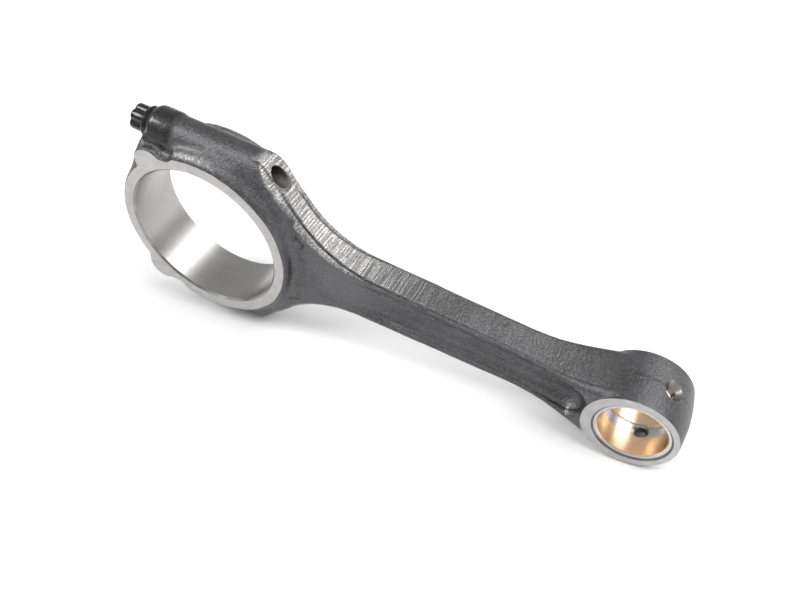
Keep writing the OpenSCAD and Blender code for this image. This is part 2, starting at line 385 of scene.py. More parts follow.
def rod_field(s, x, y, z, r):
    """The rod's forging, below nothing inside it."""
    ring, boss = big_end(s, x, y, z, r)
    angle = s["shoulder_angle"]
    slope = (x - s["shoulder_x"]) * angle.op("SINE") + (z - SCREW_Z) * angle.op("COSINE")
    way = (x - s["sweep_x"]) / (s["neck_x"] - s["sweep_x"])
    edge_z = s["wide_h"] + (s["slim_h"] - s["wide_h"]) * way.high(0.0).low(1.0)
    outline = trimmed(rod_outline(s, x, y, z, slope, edge_z), x, y)

    # The body widens into the small end, and its edges are rounder at both ends.
    flare = x.ramp(113 * MM, 145 * MM)
    half = s["half_w"] + flare * 3.6 * MM
    edge_r = 2.2 * MM - x.ramp(26 * MM, 72 * MM) * 0.6 * MM + flare * 0.8 * MM
    body = round_edge(outline, y - half, edge_r)
    boss = round_edge(boss, slope, 1.3 * MM)
    body = fillet(body, boss, 0.5 * MM)

    # The flute runs out as its floor rises to the big end, and its walls lean outwards.
    floor = s["web_half"] + (x.ramp(76 * MM, 40 * MM)) * 3.6 * MM
    wall_lean = 0.22
    mouth = far((x - s["flute_end_x"]).high(0.0), z) - (edge_z - s["flange_t"])
    mouth = mouth - (y - s["web_half"]) * wall_lean
    flute = round_edge(mouth, floor - y, 4.0 * MM)
    body = round_edge(body, -flute, 1.2 * MM + x.ramp(80 * MM, 45 * MM) * 0.7 * MM)

    # The ring and the small end join the body; the stock on the faces is cut off later.
    body = fillet(ring, body, 3.0 * MM)
    eye = (far(x - s["eye_x"], z) - (s["eye_r"] - y * y * EYE_BULGE)).high(y - EYE_Y - 0.7 * MM)
    body = fillet(body, eye, 0.4 * MM)
    for dent_x, dent_z in DENTS:
        dent = DENT_R - far(far(x - dent_x * MM, y - DENT_Y), z - dent_z * MM)
        body = round_edge(body, dent, 0.3 * MM)
    return body


def edge_land(ramp):
    """Half width of the trimmed land on the rod's edge, from a ramp along the rod."""
    return 3.1 * MM + ramp(24 * MM, 72 * MM) * 2.0 * MM + ramp(112 * MM, 142 * MM) * 1.8 * MM


def forging_mesh(name, field, sizes, low, high):
    """Solid whose surface is where the field is nothing, grown as a volume."""
    finishes = bpy.context.scene.rod_finishes
    voxel, seed = finishes.voxel, finishes.seed
    tree = bpy.data.node_groups.new(name, "GeometryNodeTree")
    s = group_inputs(tree, sizes)
    place = tree.nodes.new("GeometryNodeInputPosition").outputs[0]
    split = tree.nodes.new("ShaderNodeSeparateXYZ")
    tree.links.new(place, split.inputs[0])
    x, y, z = (Term(tree, split.outputs[i]) for i in range(3))
    depth = field(s, x, y.op("ABSOLUTE"), z.op("ABSOLUTE"), far(x, z))
    depth = depth + uneven(tree, place, 95.0, 0.26 * MM, seed)
    depth = depth + uneven(tree, place, 420.0, 0.12 * MM, seed + 3)
    cube = tree.nodes.new("GeometryNodeVolumeCube")
    tree.links.new((1.0 - depth * 100.0).out, cube.inputs["Density"])
    cube.inputs["Background"].default_value = 0.0
    cube.inputs["Min"].default_value = low
    cube.inputs["Max"].default_value = high
    for axis, a, b in zip("XYZ", low, high):
        cube.inputs[f"Resolution {axis}"].default_value = round((b - a) / voxel) + 1
    skin = tree.nodes.new("GeometryNodeVolumeToMesh")
    skin.inputs["Threshold"].default_value = 1.0  # the density where the field is nothing
    tree.links.new(cube.outputs[0], skin.inputs[0])
    finish_tree(tree, skin.outputs[0], all_materials()["blasted_forging"])
    return grown(name, tree, sizes)


def turned(profile, steps, centre, axis):
    """Closed solid of revolution: rings of (along, radius) about an axis through centre."""
    along = np.array([p[0] for p in profile])
    radius = np.array([p[1] for p in profile])
    angle = np.arange(steps) * 2 * math.pi / steps
    c, s = np.cos(angle), np.sin(angle)
    frames = {"X": ((1, 0, 0), (0, 1, 0), (0, 0, 1)), "Y": ((0, 1, 0), (0, 0, 1), (1, 0, 0))}
    a, u, v = (np.array(w, float) for w in frames[axis])
    rim = c[:, None] * u + s[:, None] * v
    return ring_mesh([np.array(centre) + t * a + r * rim for t, r in zip(along, radius)])


def ring_mesh(rings, loop=False):
    """Closed mesh through rings of points, capped at its ends unless it is a loop."""
    count, steps = len(rings), len(rings[0])
    faces = []
    for i in range(count if loop else count - 1):
        j = (i + 1) % count
        for k in range(steps):
            m = (k + 1) % steps
            faces.append((i * steps + k, i * steps + m, j * steps + m, j * steps + k))
    if not loop:
        faces.append(tuple(range(steps))[::-1])
        faces.append(tuple((count - 1) * steps + k for k in range(steps)))
    mesh = bpy.data.meshes.new("rings")
    mesh.from_pydata([tuple(p) for ring in rings for p in ring], [], faces)
    outward(mesh)
    return mesh


def outward(mesh):
    """Merges double points and turns every face outwards."""
    work = bmesh.new()
    work.from_mesh(mesh)
    bmesh.ops.remove_doubles(work, verts=work.verts, dist=1e-7)
    bmesh.ops.recalc_face_normals(work, faces=work.faces)
    work.to_mesh(mesh)
    work.free()


def joined(*meshes):
    """One mesh that holds several closed shells."""
    work = bmesh.new()
    for mesh in meshes:
        work.from_mesh(mesh)
    out = bpy.data.meshes.new("joined")
    work.to_mesh(out)
    work.free()
    return out


def block(low, high):
    """Plain cutting block between two corners."""
    work = bmesh.new()
    bmesh.ops.create_cube(work, size=1.0)
    low, high = Vector(low), Vector(high)
    for v in work.verts:
        v.co = Vector([low[i] + (v.co[i] + 0.5) * (high[i] - low[i]) for i in range(3)])
    mesh = bpy.data.meshes.new("block")
    work.to_mesh(mesh)
    work.free()
    return mesh


def combined(mesh, cutter, how):
    """The mesh cut by, or joined to, another closed mesh."""
    body = bpy.data.objects.new("body", mesh)
    tool = bpy.data.objects.new("tool", cutter)
    for o in (body, tool):
        bpy.context.collection.objects.link(o)
    modifier = body.modifiers.new("Cut", "BOOLEAN")
    modifier.operation = how
    modifier.solver = "MANIFOLD"
    modifier.object = tool
    seen = body.evaluated_get(bpy.context.evaluated_depsgraph_get())
    out = bpy.data.meshes.new_from_object(seen)
    for o in (body, tool):
        bpy.data.objects.remove(o)
    if not out.polygons:
        raise RuntimeError("a cut left nothing")
    return out


def fracture_sheet(side, gap):
    """Block on one side of the rough split; side -1 reaches to -X and 1 to +X."""
    rows, columns, height, width, reach = 150, 48, 90, 28, 60 * MM
    sheet, back = [], []
    for i in range(rows + 1):
        z = (i / rows - 0.5) * height * MM
        for j in range(columns + 1):
            y = (j / columns - 0.5) * width * MM
            lift = noise.fractal(Vector((y * 260, z * 260, 3.7)), 0.7, 2.1, 4) * 0.16 * MM
            sheet.append((lift + side * gap, y, z))
            back.append((side * reach, y, z))
    w = columns + 1
    n = len(sheet)
    faces = []
    for i in range(rows):
        for j in range(columns):
            a = i * w + j
            quad = (a, a + 1, a + w + 1, a + w)
            faces.append(quad)
            faces.append(tuple(v + n for v in reversed(quad)))
    rim = list(range(w)) + [i * w + columns for i in range(1, rows + 1)]
    rim += [rows * w + j for j in range(columns - 1, -1, -1)] + [i * w for i in range(rows - 1, 0, -1)]
    for k, a in enumerate(rim):
        b = rim[(k + 1) % len(rim)]
        faces.append((a, a + n, b + n, b))
    mesh = bpy.data.meshes.new("fracture")
    mesh.from_pydata(sheet + back, [], faces)
    outward(mesh)
    return mesh


def face_slabs():
    """Everything past the machined planes of both ends."""
    mid, end, far_y, far_z = SMALL_END_X, 185 * MM, 20 * MM, 60 * MM
    out = []
    for side in (-1, 1):
        y0, y1 = sorted((side * FACE_Y, side * far_y))
        out.append(block((-60 * MM, y0, -far_z), (mid, y1, far_z)))
        y0, y1 = sorted((side * EYE_Y, side * far_y))
        out.append(block((mid + 1 * MM, y0, -far_z), (end, y1, far_z)))
    return joined(*out)


def mouthed_bore(r, chamfer, half, centre, steps):
    """Cutter along Y: a bore with a chamfer at each mouth."""
    reach = 6 * MM
    lip = chamfer + reach
    profile = [(-half - reach, r + lip), (-half + chamfer, r), (half - chamfer, r), (half + reach, r + lip)]
    return turned(profile, steps, centre, "Y")


def big_bore():
    """Cutter for the crankpin bore, the same in rod and cap."""
    return mouthed_bore(BORE_R, BORE_CHAMFER, FACE_Y, (0, 0, 0), 288)


def oil_hole(side, profile):
    """Cutter for one oil hole, turned about the hole's axis."""
    hole = turned(profile, 48, (0, 0, 0), "X")
    hole.transform(Matrix.Translation((PIN_X, 0, 0)) @ Matrix.Rotation(-side * OIL_ANGLE, 4, "Y"))
    return hole


def rod_cutters():
    """Cutters for both bores, and for the tapped holes and oil holes."""
    eye_bore = mouthed_bore(BUSH_R, EYE_CHAMFER, EYE_Y, (PIN_X, 0, 0), 192)
    mouth_r, thread_r, exit_r = 3.95 * MM, 3.54 * MM, 2.98 * MM
    tapped = [(-3 * MM, mouth_r), (0.35 * MM, mouth_r), (0.8 * MM, thread_r),
              (18.4 * MM, thread_r), (19 * MM, exit_r), (34 * MM, exit_r)]
    oil = [(9 * MM, OIL_R), (OIL_CONE_FROM, OIL_R), (18.7 * MM, 5.6 * MM)]
    holes = []
    for side in (-1, 1):
        holes.append(turned(tapped, 72, (0, 0, side * SCREW_Z), "X"))
        holes.append(oil_hole(side, oil))
    return joined(big_bore(), eye_bore), joined(*holes)


def cap_cutters(seat_x):
    """Cutters for the bore, and for the screw holes with their seats."""
    clear_r = 3.85 * MM
    profile = [(-45 * MM, SEAT_CUT_R), (-seat_x, SEAT_CUT_R), (-seat_x, clear_r), (4 * MM, clear_r)]
    holes = [turned(profile, 96, (0, 0, side * SCREW_Z), "X") for side in (-1, 1)]
    return big_bore(), joined(*holes)


def painted(mesh, materials, rule):
    """Puts each face in the slot that the rule names, and marks sharp edges."""
    mesh.materials.clear()
    for m in materials:
        mesh.materials.append(m)
    count = len(mesh.polygons)
    centre, normal = np.empty(count * 3), np.empty(count * 3)
    mesh.polygons.foreach_get("center", centre)
    mesh.polygons.foreach_get("normal", normal)
    slots = rule(centre.reshape(-1, 3), normal.reshape(-1, 3))
    mesh.polygons.foreach_set("material_index", slots.astype(np.int32))
    mesh.shade_smooth()
    mesh.set_sharp_from_angle(angle=SHARP_ANGLE)
    mesh.update()


def around(c, x):
    """Distance of points from an axis along Y."""
    return np.hypot(c[:, 0] - x, c[:, 2])


def about_oil_hole(c, side):
    """Distance of points along and away from the axis of one oil hole."""
    sin, cos = math.sin(side * OIL_ANGLE), math.cos(side * OIL_ANGLE)
    along = (c[:, 0] - PIN_X) * cos + c[:, 2] * sin
    away = np.hypot(c[:, 1], (c[:, 0] - PIN_X) * -sin + c[:, 2] * cos)
    return along, away


STEEL = (
    "blasted_forging", "machined_face", "honed_bore", "dark_chamfer", "drilled_hole", "fracture",
    "bore_chamfer",
)
FORGED, FACED, HONED, DARK_EDGE, DRILLED, BROKEN, BRIGHT_EDGE = range(len(STEEL))


def steel_rule(c, n):
    """Slot of each face of the forgings, in the order of STEEL."""
    slot = np.full(len(c), FORGED)
    tight = 0.012 * MM
    depth = np.abs(c[:, 1])
    slot[np.abs(depth - np.where(c[:, 0] > SMALL_END_X, EYE_Y, FACE_Y)) < tight] = FACED
    r_big, r_eye = around(c, 0), around(c, PIN_X)
    slot[(r_big < BORE_R + tight) | (r_eye < BUSH_R + tight)] = HONED
    cone_big = np.abs(r_big - BORE_R - np.maximum(depth - FACE_Y + BORE_CHAMFER, 0)) < 2 * tight
    cone_eye = np.abs(r_eye - BUSH_R - np.maximum(depth - EYE_Y + EYE_CHAMFER, 0)) < 2 * tight
    angled = (np.abs(n[:, 1]) > 0.3) & (np.abs(n[:, 1]) < 0.95)
    # The big bore's chamfer takes a tone darkened as painted shade.
    slot[cone_big & angled] = BRIGHT_EDGE
    # The eye's chamfer takes a colour darkened as painted shade.
    slot[cone_eye & angled] = DARK_EDGE
    for side in (-1, 1):
        axis = np.hypot(c[:, 1], c[:, 2] - side * SCREW_Z)
        inward = (n[:, 1] * c[:, 1] + n[:, 2] * (c[:, 2] - side * SCREW_Z)) < 0
        slot[(axis < 4.0 * MM) & inward & (np.abs(n[:, 0]) < 0.85)] = DRILLED
        slot[(axis < SEAT_CUT_R + 0.03 * MM) & (c[:, 0] < -22.85 * MM)] = FACED
        along, away = about_oil_hole(c, side)
        slot[(away < OIL_R + 0.03 * MM) & (along > 12.2 * MM)] = DRILLED
        cone = np.abs(away - OIL_R - (along - OIL_CONE_FROM) * OIL_CONE_SLOPE) < 0.05 * MM
        slot[cone & (along > OIL_CONE_FROM)] = BRIGHT_EDGE
    slot[(np.abs(c[:, 0]) < 0.6 * MM) & (np.abs(n[:, 0]) > 0.6) & (slot != HONED)] = BROKEN
    return slot


def smooth_step(v, a, b):
    """0 at a, 1 at b, smooth between."""
    t = np.clip((v - a) / (b - a), 0, 1)
    return t * t * (3 - 2 * t)


def mark_land(mesh):
    """Point attributes for the steel's look: wear with painted highlight, painted shade in the groove, and
    oil.
    """
    step = smooth_step
    count = len(mesh.vertices)
    co = np.empty(count * 3)
    mesh.vertices.foreach_get("co", co)
    normal = np.array([v.normal[:] for v in mesh.vertices])
    x, signed_y, z = co.reshape(-1, 3).T
    y, height, r = np.abs(signed_y), np.abs(z), np.hypot(x, z)
    edgewise = np.abs(normal[:, 2]) + np.abs(normal[:, 0]) * 0.75
    facing = step(edgewise, 0.6, 0.85)

    # The trimmed land, bright at the shoulder and dull towards the small end.
    half = edge_land(lambda a, b: step(x, a, b))
    land = step(half - y, -0.3 * MM, 0.3 * MM) * facing * step(x, 15 * MM, 21 * MM)
    land *= 1 - step(x, 138 * MM, 151 * MM)
    fade = 1 - step(x, 30 * MM, 92 * MM) * 0.95

    # The groove beside it, deeper on the -Y side, and the parting line round the small end, both darkened
    # with painted shade.
    groove = 1 - step(np.abs(half + GROOVE_GAP - y), 0.1 * MM, 0.55 * MM)
    groove = groove * facing * step(x, 14 * MM, 20 * MM)
    groove *= (1 - step(x, 45 * MM, 85 * MM) * 0.55) * (1 - step(x, 138 * MM, 147 * MM))
    groove *= 1 - step(signed_y, -0.5 * MM, 0.5 * MM) * 0.7
    parting = (1 - step(y, 0.05 * MM, 0.4 * MM)) * step(x, 144 * MM, 149 * MM)

    # The sloping shoulder round the screw hole, worn and also lightened with a painted highlight.
    slope = (x - SHOULDER_X) * SHOULDER_DIRECTION[0] + (height - SCREW_Z) * SHOULDER_DIRECTION[1]
    shoulder = step(normal[:, 0], 0.25, 0.5) * step(slope, -1.0 * MM, -0.5 * MM)
    shoulder = shoulder * step(x, 15 * MM, 19 * MM) * step(height, 24 * MM, 28 * MM)

    # A painted highlight on the rounded strip outside the groove, which follows the shoulder and then the
    # sweep.
    rim = step(y, half + 0.5 * MM, half + 0.9 * MM) * step(edgewise, 0.35, 0.6)
    reach = np.sqrt(np.maximum(SWEEP_R ** 2 - (np.minimum(x, SWEEP_X) - SWEEP_X) ** 2, 0))
    straight = SCREW_Z - (x - SHOULDER_X) * SHOULDER_FALL
    flank = np.where(x < SHOULDER_END_X, straight, WIDE_H + SWEEP_R - reach)
    rim *= step(x, 19 * MM, 24 * MM) * (1 - step(x, 42 * MM, 66 * MM))
    rim *= step(height - flank, -3.8 * MM, -1.6 * MM)

    # One nick near the small end, and a painted highlight on the ring's convex bulge beside the lug.
    nick = 1 - step(np.hypot(x - 135.7 * MM, (z + 6.1 * MM) * 0.7), 0.3 * MM, 0.8 * MM)
    crest = step(r, 32.9 * MM, 33.7 * MM) * (1 - step(r, 34.4 * MM, 35.6 * MM))
    crest = crest * step(height, 20 * MM, 27 * MM)
    crest = crest * step(x, -13 * MM, -9 * MM) * (1 - step(x, -4 * MM, 10 * MM))

    # Worn land and nick, with painted highlight on the shoulder, the rounded strip and the ring's bulge.
    wear = np.maximum(np.maximum(land * fade, shoulder * 0.85), rim * 0.55)
    wear = np.maximum(np.maximum(wear, nick * (signed_y < 0)), crest * 0.4)
    groove = np.maximum(groove, parting * 0.8)
    near_screw = 1 - step(np.hypot(y, height - SCREW_Z), 7.3 * MM, 8.1 * MM)
    oil = step(-x, 12 * MM, 14.5 * MM) * near_screw
    for name, values in (("wear", wear), ("groove", groove), ("oil", oil)):
        layer = mesh.attributes.new(name, "FLOAT", "POINT")
        layer.data.foreach_set("value", values.astype(np.float32))


def new_surface(name, color, metallic, roughness):
    """Empty metal material: its tree, shader and Object coordinates."""
    material = bpy.data.materials.new(name)
    material.use_nodes = True
    tree = material.node_tree
    shader = tree.nodes["Principled BSDF"]
    shader.inputs["Base Color"].default_value = (*color, 1)
    shader.inputs["Metallic"].default_value = metallic
    shader.inputs["Roughness"].default_value = roughness
    place = tree.nodes.new("ShaderNodeTexCoord").outputs["Object"]
    return material, tree, shader, place


def speckle(tree, place, scale, detail=2.0, stretch=None, rough=0.5):
    """Noise from 0 to 1 at a scale per metre, stretched along axes if asked."""
    if stretch:
        mapping = tree.nodes.new("ShaderNodeMapping")
        mapping.inputs["Scale"].default_value = stretch
        tree.links.new(place, mapping.inputs["Vector"])
        place = mapping.outputs[0]
    node = tree.nodes.new("ShaderNodeTexNoise")
    node.inputs["Scale"].default_value = scale
    node.inputs["Detail"].default_value = detail
    node.inputs["Roughness"].default_value = rough
    tree.links.new(place, node.inputs["Vector"])
    return Term(tree, node.outputs[0])


def tint(tree, fac, a, b):
    """Colour a where fac is 0, and b where it is 1."""
    node = tree.nodes.new("ShaderNodeMix")
    node.data_type = "RGBA"
    tree.links.new(fac.out, node.inputs["Factor"])
    for socket, value in ((node.inputs[6], a), (node.inputs[7], b)):
        if isinstance(value, tuple):
            socket.default_value = (*value, 1)
        else:
            tree.links.new(value, socket)
    return node.outputs[2]


def relief(tree, shader, height, distance):
    """Fine relief of a surface, as deep as the distance."""
    node = tree.nodes.new("ShaderNodeBump")
    node.inputs["Distance"].default_value = distance
    node.inputs["Strength"].default_value = 1.0
    tree.links.new(height.out, node.inputs["Height"])
    tree.links.new(node.outputs[0], shader.inputs["Normal"])


def attribute(tree, name):
    """A point attribute of the mesh, as a number."""
    node = tree.nodes.new("ShaderNodeAttribute")
    node.attribute_name = name
    return Term(tree, node.outputs["Fac"])


def shade(color, k):
    """The colour made darker or lighter, at most white."""
    return tuple(min(c * k, 1.0) for c in color)


# Tones of wear with painted highlight, of rust, of painted shade in the groove, and of oil.
WORN_AND_HIGHLIGHT, RUST = (0.68, 0.67, 0.66), (0.16, 0.1, 0.06)
GROOVE_SHADE, OILED = (0.02, 0.019, 0.018), (0.02, 0.019, 0.019)


def forged_steel(color):
    """Shot-blasted forging, worn bright on its land with painted highlight beside it, painted shade in its
    groove, and oiled at the screws.
    """
    m, tree, shader, place = new_surface("blasted_forging", color, 0.85, 0.42)
    fine = speckle(tree, place, 2400, 3.0, rough=0.6)
    grain = speckle(tree, place, 1100, 2.0)
    broad = speckle(tree, place, 60, 3.0)
    bright = (fine * 0.6 + grain * 0.4).ramp(0.53, 0.66)
    wear, groove, oil = (attribute(tree, n) for n in ("wear", "groove", "oil"))
    strokes = speckle(tree, place, 340, 2.0, stretch=(5.0, 0.2, 5.0), rough=0.55)
    scratch = strokes.ramp(0.44, 0.6)
    mottle = (grain * 0.4 + broad * 0.6).ramp(0.35, 0.65)
    tone = tint(tree, mottle, shade(color, 0.8), shade(color, 1.14))
    tone = tint(tree, bright * 0.32, tone, shade(color, 3.0))
    # Lighter where worn and where a highlight is painted.
    tone = tint(tree, (wear * (0.3 + scratch * 0.7)).low(1.0), tone, WORN_AND_HIGHLIGHT)
    rust = (speckle(tree, place, 190, 2.0) - wear * 0.1).ramp(0.7, 0.78)
    tone = tint(tree, rust * 0.5, tone, RUST)
    # Painted shade in the groove and on the parting line.
    tone = tint(tree, groove * 0.7, tone, GROOVE_SHADE)
    tone = tint(tree, oil * 0.92, tone, OILED)
    tree.links.new(tone, shader.inputs["Base Color"])
    rough = 0.37 + (grain - 0.5) * 0.35 - bright * 0.1 - wear * 0.1 - oil * 0.1
    tree.links.new((oil * 0.7).out, shader.inputs["Coat Weight"])
    shader.inputs["Coat Roughness"].default_value = 0.16
    tree.links.new(rough.low(0.8).high(0.2).out, shader.inputs["Roughness"])
    height = fine * 0.7 + grain * 0.7 + scratch * wear * 0.8 - groove * 1.5
    relief(tree, shader, height, 0.24 * MM)
    return m


def machined_face(color):
    """Turned face, with its lay in rings about the bore that it surrounds."""
    m, tree, shader, place = new_surface("machined_face", color, 0.9, 0.38)
    split = tree.nodes.new("ShaderNodeSeparateXYZ")
    tree.links.new(place, split.inputs[0])
    x, z = Term(tree, split.outputs[0]), Term(tree, split.outputs[2])
    small = x.op("GREATER_THAN", SMALL_END_X)
    radius = far(x - small * PIN_X, z)
    lay = tree.nodes.new("ShaderNodeCombineXYZ")
    tree.links.new(radius.out, lay.inputs[0])
    rings = speckle(tree, lay.outputs[0], 5200, 2.0)
    patch = speckle(tree, place, 120, 3.0)
    grain = speckle(tree, place, 2600, 2.0)
    mottle = (rings * 0.5 + patch * 0.5).ramp(0.3, 0.7)
    tone = tint(tree, mottle, shade(color, 0.85), shade(color, 1.12))
    tree.links.new(tone, shader.inputs["Base Color"])
    rough = 0.36 + (patch - 0.5) * 0.25 + (grain - 0.5) * 0.1
    tree.links.new(rough.out, shader.inputs["Roughness"])
    relief(tree, shader, rings + grain * 0.4, 0.012 * MM)
    return m


def honed_bore(color):
    """Bored and honed steel, with fine lines round the bore."""
    m, tree, shader, place = new_surface("honed_bore", color, 1.0, 0.3)
    lines = speckle(tree, place, 300, 3.0, stretch=(1.0, 14.0, 1.0))
    patch = speckle(tree, place, 90, 3.0)
    grain = speckle(tree, place, 2200, 2.0)
    mottle = (lines * 0.6 + patch * 0.4).ramp(0.3, 0.7)
    tone = tint(tree, mottle, shade(color, 0.86), shade(color, 1.1))
    tree.links.new(tone, shader.inputs["Base Color"])
    rough = 0.31 + (patch - 0.5) * 0.18 + (grain - 0.5) * 0.08
    tree.links.new(rough.out, shader.inputs["Roughness"])
    relief(tree, shader, lines + grain * 0.3, 0.01 * MM)
    return m


def plain_metal(name, color, metallic, roughness, scale, bump, spread):
    """Metal with mottling, uneven polish and fine relief."""
    m, tree, shader, place = new_surface(name, color, metallic, roughness)
    fine = speckle(tree, place, scale, 3.0)
    broad = speckle(tree, place, scale * 0.12, 2.0)
    mottle = (fine * 0.5 + broad * 0.5).ramp(0.3, 0.7)
    tone = tint(tree, mottle, shade(color, 1 - spread), shade(color, 1 + spread))
    tree.links.new(tone, shader.inputs["Base Color"])
    rough = (roughness + (broad - 0.5) * 0.3).high(0.1).low(0.9)
    tree.links.new(rough.out, shader.inputs["Roughness"])
    relief(tree, shader, fine, bump)
    return m


def all_materials():
    """Every finish by name, made once and shared by the pieces."""
    f = bpy.context.scene.rod_finishes
    detailed = {
        "blasted_forging": (forged_steel, f.forging),
        "machined_face": (machined_face, f.machined),
        "honed_bore": (honed_bore, f.machined),
    }
    plain = {  # colour, metallic, roughness, speckles per metre, relief, spread of the mottling
        # Painted shade: the eye's chamfer is darkened to stand for its shadow.
        "dark_chamfer": ((0.16, 0.155, 0.15), 0.9, 0.4, 1800, 0.01 * MM, 0.3),
        # Darker than the machined face, as painted shade, at the big bore's mouths; on the oil holes'
        # countersinks it is machined steel against the darker forging.
        "bore_chamfer": ((0.3, 0.28, 0.26), 0.9, 0.34, 1800, 0.008 * MM, 0.3),
        "drilled_hole": ((0.22, 0.213, 0.205), 0.9, 0.36, 1500, 0.02 * MM, 0.3),
        "fracture": ((0.2, 0.2, 0.21), 0.8, 0.55, 1600, 0.2 * MM, 0.5),
        "black_screw": (tuple(f.screw), 0.4, 0.16, 900, 0.008 * MM, 0.5),
        "bronze_lining": (tuple(f.bronze), 1.0, 0.33, 700, 0.004 * MM, 0.08),
        "bush_back": ((0.5, 0.5, 0.5), 1.0, 0.3, 900, 0.004 * MM, 0.1),
    }
    made = {name: bpy.data.materials.get(name) for name in (*detailed, *plain)}
    for name, (maker, color) in detailed.items():
        made[name] = made[name] or maker(tuple(color))
    for name, values in plain.items():
        made[name] = made[name] or plain_metal(name, *values)
    return made


def add_piece(name, mesh, body, node):
    """Puts a finished mesh in the scene in place of a CAD node."""
    mesh.name = name
    piece = bpy.data.objects.new(name, mesh)
    bpy.context.collection.objects.link(piece)
    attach(piece, body)
    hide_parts(node)


def add_steel(name, mesh, cutters, body, node):
    """Machines a forging, gives its faces their finishes and adds it."""
    for cutter in cutters:
        mesh = combined(mesh, cutter, "DIFFERENCE")
    made = all_materials()
    painted(mesh, [made[n] for n in STEEL], steel_rule)
    mark_land(mesh)
    add_piece(name, mesh, body, node)


class ROD_OT_forging(bpy.types.Operator):
    """Rod forging with its machined ends, holes and flutes"""
    bl_idname = "rod.forging"
    bl_label = "Rod forging"

    def execute(self, context):
        scene = context.scene
        sizes = {**property_values(scene.rod_big_end), **property_values(scene.rod_shank)}
        low, high = (-3 * MM, -12 * MM, -41 * MM), (175 * MM, 12 * MM, 41 * MM)
        mesh = forging_mesh("rod_forging", rod_field, sizes, low, high)
        cutters = (face_slabs(), *rod_cutters(), fracture_sheet(-1, 0.0))
        add_steel("rod_forging", mesh, cutters, "rod", "rod_body")
        return {"FINISHED"}


class ROD_OT_cap(bpy.types.Operator):
    """Bearing cap split from the rod's big end"""
    bl_idname = "rod.cap"
    bl_label = "Bearing cap"

    def execute(self, context):
        big_end_sizes = context.scene.rod_big_end
        low, high = (-36 * MM, -12 * MM, -41 * MM), (3 * MM, 12 * MM, 41 * MM)
        mesh = forging_mesh("cap_forging", cap_field, property_values(big_end_sizes), low, high)
        split_gap = 0.05 * MM
        cutters = (face_slabs(), *cap_cutters(big_end_sizes.seat_x), fracture_sheet(1, split_gap))
        add_steel("cap_forging", mesh, cutters, "cap", "bearing_cap")
        return {"FINISHED"}


def thread_mesh(s, length, material):
    """Helical thread with closed ends, run along +X from the origin."""
    sizes = {"Core radius": s.core_r, "Crest radius": s.crest_r, "Pitch": s.pitch, "Length": length}
    tree = bpy.data.node_groups.new("screw_thread", "GeometryNodeTree")
    t = group_inputs(tree, sizes)
    steps_round, rows_per_turn = 60, 12
    rows = int(length / s.pitch * rows_per_turn) + 1
    grid = tree.nodes.new("GeometryNodeMeshGrid")
    grid.inputs["Size X"].default_value = 1.0
    grid.inputs["Size Y"].default_value = 1.0
    grid.inputs["Vertices X"].default_value = steps_round + 1
    grid.inputs["Vertices Y"].default_value = rows
    split = tree.nodes.new("ShaderNodeSeparateXYZ")
    tree.links.new(tree.nodes.new("GeometryNodeInputPosition").outputs[0], split.inputs[0])
    turn = Term(tree, split.outputs[0]) + 0.5
    run = Term(tree, split.outputs[1]) + 0.5
    along = run * t["Length"]
    phase = (along / t["Pitch"] - turn + 40.0).op("FRACT")
    crest = 1.0 - ((phase - 0.5).op("ABSOLUTE") * 2.0)
    lift = (crest * 1.5 - 0.25).high(0.0).low(1.0) * (t["Crest radius"] - t["Core radius"])
    lift = lift * along.ramp(0.0, 1.4 * MM) * (t["Length"] - along).ramp(0.2 * MM, 1.6 * MM)
    shut = run.op("GREATER_THAN", 1e-4) * run.op("LESS_THAN", 1 - 1e-4)
    radius = (t["Core radius"] + lift) * shut
    angle = turn * (2 * math.pi)
    join = tree.nodes.new("ShaderNodeCombineXYZ")
    for i, term in enumerate((along, radius * angle.op("COSINE"), radius * angle.op("SINE"))):
        tree.links.new(term.out, join.inputs[i])
    move = tree.nodes.new("GeometryNodeSetPosition")
    tree.links.new(grid.outputs["Mesh"], move.inputs["Geometry"])
    tree.links.new(join.outputs[0], move.inputs["Position"])
    merge = tree.nodes.new("GeometryNodeMergeByDistance")
    merge.inputs["Distance"].default_value = 1e-6
    tree.links.new(move.outputs[0], merge.inputs["Geometry"])
    finish_tree(tree, merge.outputs[0], material)
    mesh = grown("screw_thread", tree, sizes)
    outward(mesh)
    return mesh


def lobed(steps, radius, depth):
    """Radius round a head with six lobes; at depth 0 it is round, and at 1 the lobes are full."""
    angle = np.arange(steps) * 2 * math.pi / steps
    wave = 0.5 - 0.5 * np.cos(6 * angle)
    return radius * (1 - depth * 0.15 * wave ** 2.2)


